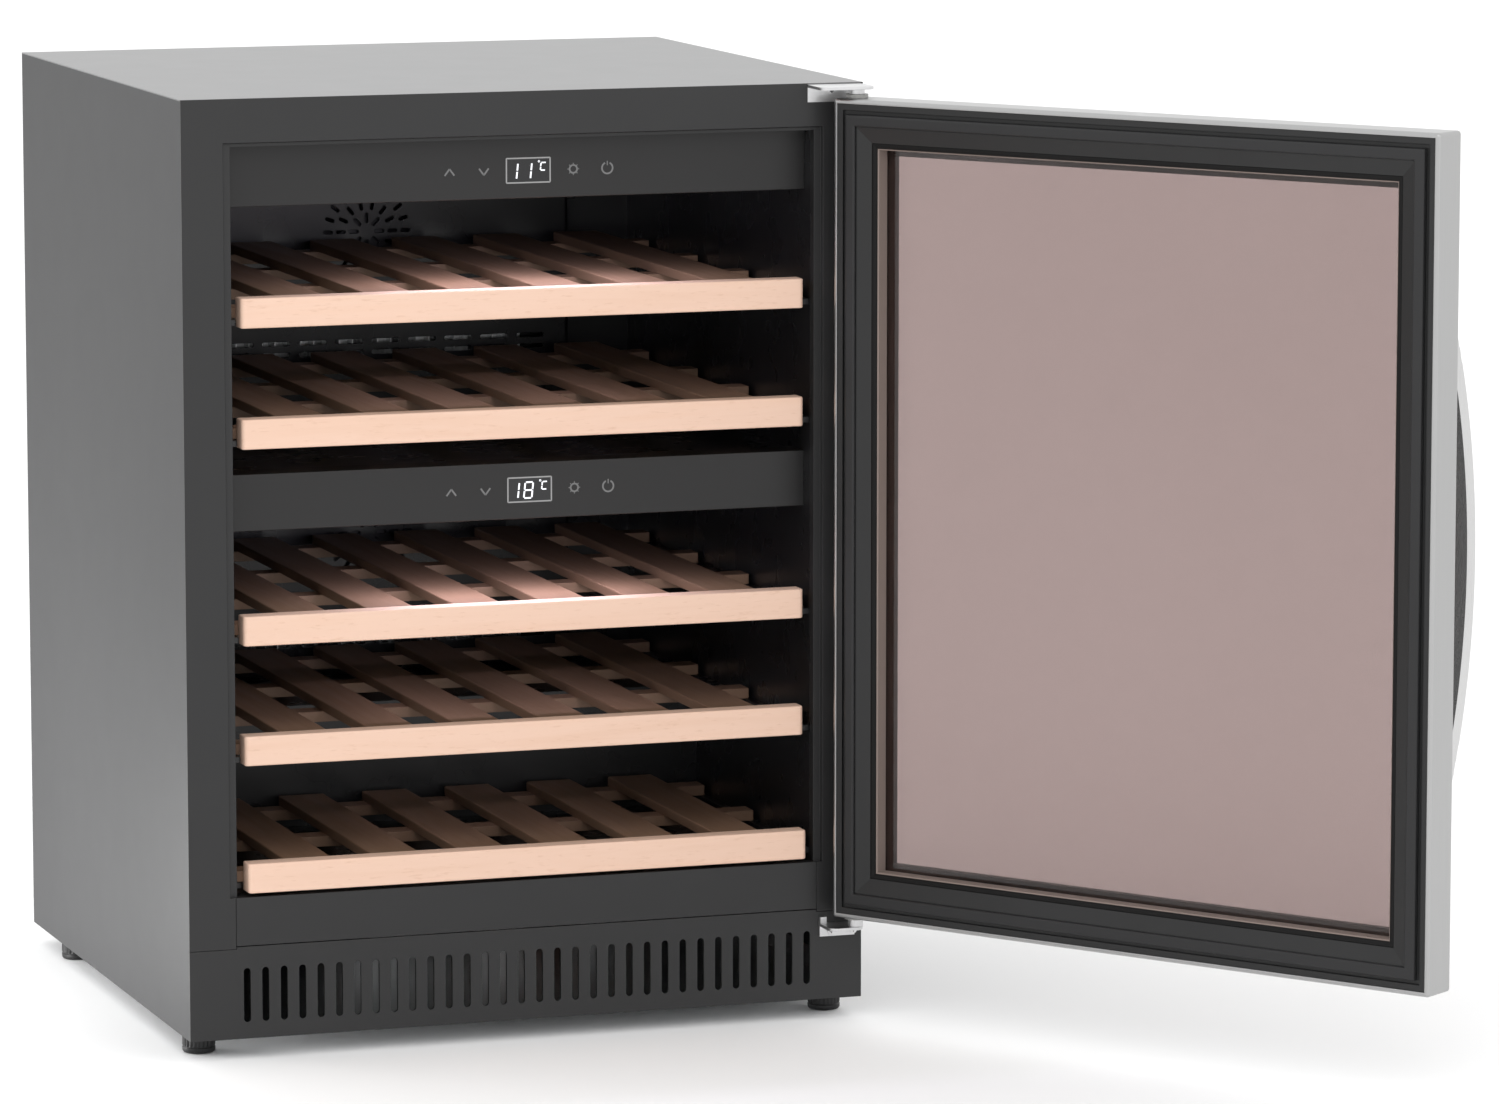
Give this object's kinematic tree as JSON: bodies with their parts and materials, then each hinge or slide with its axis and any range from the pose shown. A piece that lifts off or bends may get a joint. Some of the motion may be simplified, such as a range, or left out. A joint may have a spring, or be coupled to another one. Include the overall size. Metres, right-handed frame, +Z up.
{
  "type": "wine cooler",
  "caption": "Two-zone undercounter wine cooler with a right-hinged glass door in a steel frame, sliding slatted wooden shelves, front vent grille and levelling feet.",
  "frame": {"origin": "on the floor, on the cabinet's centre line, in the plane of the front frame's face", "axes": "+X to the user's right, +Y to the wall behind, +Z up; the cabinet faces -Y"},
  "size_m": [0.9619, 1.0663, 0.8055],
  "materials": {
    "side_paint": "satin grey paint",
    "top_paint": "satin light grey paint",
    "galvanised": "plain galvanised sheet",
    "black_frame": "fine satin charcoal",
    "liner": "matte black",
    "foam": "rigid foam",
    "panel": "satin charcoal",
    "display": "smoked gloss",
    "circuit": "green circuit board",
    "led": "translucent white",
    "black_steel": "black enamel",
    "aluminium": "bare",
    "aluminium_dark": "dark anodised",
    "rubber": "matte",
    "gasket": "satin",
    "copper": "copper tube",
    "black_plastic": "satin black",
    "bush": "self-lubricating polymer",
    "hinge_steel": "satin zinc",
    "stainless": "brushed",
    "tinted_glass": "clear brown-grey tint",
    "beech": "fine sanded beech"
  },
  "bodies": {
    "cabinet": {"side_panel_left": "side_paint", "side_panel_right": "side_paint", "top_panel": "top_paint", "back_panel": "galvanised", "rear_grille": "galvanised", "base_pan": "galvanised", "front_frame": "black_frame", "kick_grille": "black_frame", "inner_liner": "liner", "insulation_foam": "foam", "compressor_bulkhead": "galvanised", "zone_divider": "liner", "upper_control_panel": "panel", "lower_control_panel": "panel", "upper_display": "display", "lower_display": "display", "touch_keys": "display", "control_boards": "circuit", "led_strips": "led", "shelf_runners": "liner", "upper_evaporator_cover": "liner", "lower_evaporator_cover": "liner", "evaporator_fan_motors": "black_steel", "evaporator_plates": "aluminium", "compressor": "black_steel", "compressor_mounts": "rubber", "condenser_coil": "copper", "condenser_fan_frame": "black_plastic", "refrigerant_lines": "copper", "power_inlet": "black_plastic", "top_hinge_bracket": "hinge_steel", "bottom_hinge_bracket": "hinge_steel", "hinge_pins": "hinge_steel", "hinge_screws": "hinge_steel"},
    "door": {"door_frame": "stainless", "door_inner_frame": "black_plastic", "door_gasket": "gasket", "inner_glass": "tinted_glass", "outer_glass": "tinted_glass", "glass_spacer": "aluminium_dark", "door_handle": "stainless", "handle_screws": "hinge_steel", "hinge_bushes": "bush"},
    "shelf_1": {"shelf_1_front_rail": "beech", "shelf_1_deck": "beech"},
    "shelf_2": {"shelf_2_front_rail": "beech", "shelf_2_deck": "beech"},
    "shelf_3": {"shelf_3_front_rail": "beech", "shelf_3_deck": "beech"},
    "shelf_4": {"shelf_4_front_rail": "beech", "shelf_4_deck": "beech"},
    "shelf_5": {"shelf_5_front_rail": "beech", "shelf_5_deck": "beech"},
    "foot_front_left": {"foot_front_left": "black_plastic"},
    "foot_front_right": {"foot_front_right": "black_plastic"},
    "foot_rear_left": {"foot_rear_left": "black_plastic"},
    "foot_rear_right": {"foot_rear_right": "black_plastic"},
    "condenser_fan": {"condenser_fan": "black_plastic"},
    "upper_evaporator_fan": {"upper_evaporator_fan": "black_plastic"},
    "lower_evaporator_fan": {"lower_evaporator_fan": "black_plastic"}
  },
  "joints": [
    {"name": "door_hinge", "type": "hinge", "parent": "cabinet", "child": "door", "pos_m": [0.2845, -0.022, 0], "axis": [0, 0, 1], "range_deg": [-125.15, 5]},
    {"name": "shelf_1_slide", "type": "slide", "parent": "cabinet", "child": "shelf_1", "axis": [0, -1, 0], "range_m": [0, 0.3]},
    {"name": "shelf_2_slide", "type": "slide", "parent": "cabinet", "child": "shelf_2", "axis": [0, -1, 0], "range_m": [0, 0.3]},
    {"name": "shelf_3_slide", "type": "slide", "parent": "cabinet", "child": "shelf_3", "axis": [0, -1, 0], "range_m": [0, 0.3]},
    {"name": "shelf_4_slide", "type": "slide", "parent": "cabinet", "child": "shelf_4", "axis": [0, -1, 0], "range_m": [0, 0.3]},
    {"name": "shelf_5_slide", "type": "slide", "parent": "cabinet", "child": "shelf_5", "axis": [0, -1, 0], "range_m": [0, 0.2]},
    {"name": "foot_front_left_screw", "type": "hinge", "parent": "cabinet", "child": "foot_front_left", "pos_m": [-0.279, 0.044, 0], "axis": [0, 0, 1], "continuous": true},
    {"name": "foot_front_right_screw", "type": "hinge", "parent": "cabinet", "child": "foot_front_right", "pos_m": [0.279, 0.044, 0], "axis": [0, 0, 1], "continuous": true},
    {"name": "foot_rear_left_screw", "type": "hinge", "parent": "cabinet", "child": "foot_rear_left", "pos_m": [-0.279, 0.47, 0], "axis": [0, 0, 1], "continuous": true},
    {"name": "foot_rear_right_screw", "type": "hinge", "parent": "cabinet", "child": "foot_rear_right", "pos_m": [0.279, 0.47, 0], "axis": [0, 0, 1], "continuous": true},
    {"name": "condenser_fan_spin", "type": "hinge", "parent": "cabinet", "child": "condenser_fan", "pos_m": [0.062, 0.462, 0.087], "axis": [1, 0, 0], "continuous": true},
    {"name": "upper_evaporator_fan_spin", "type": "hinge", "parent": "cabinet", "child": "upper_evaporator_fan", "pos_m": [0, 0.501, 0.6425], "axis": [0, 1, 0], "continuous": true},
    {"name": "lower_evaporator_fan_spin", "type": "hinge", "parent": "cabinet", "child": "lower_evaporator_fan", "pos_m": [0, 0.501, 0.3695], "axis": [0, 1, 0], "continuous": true}
  ]
}
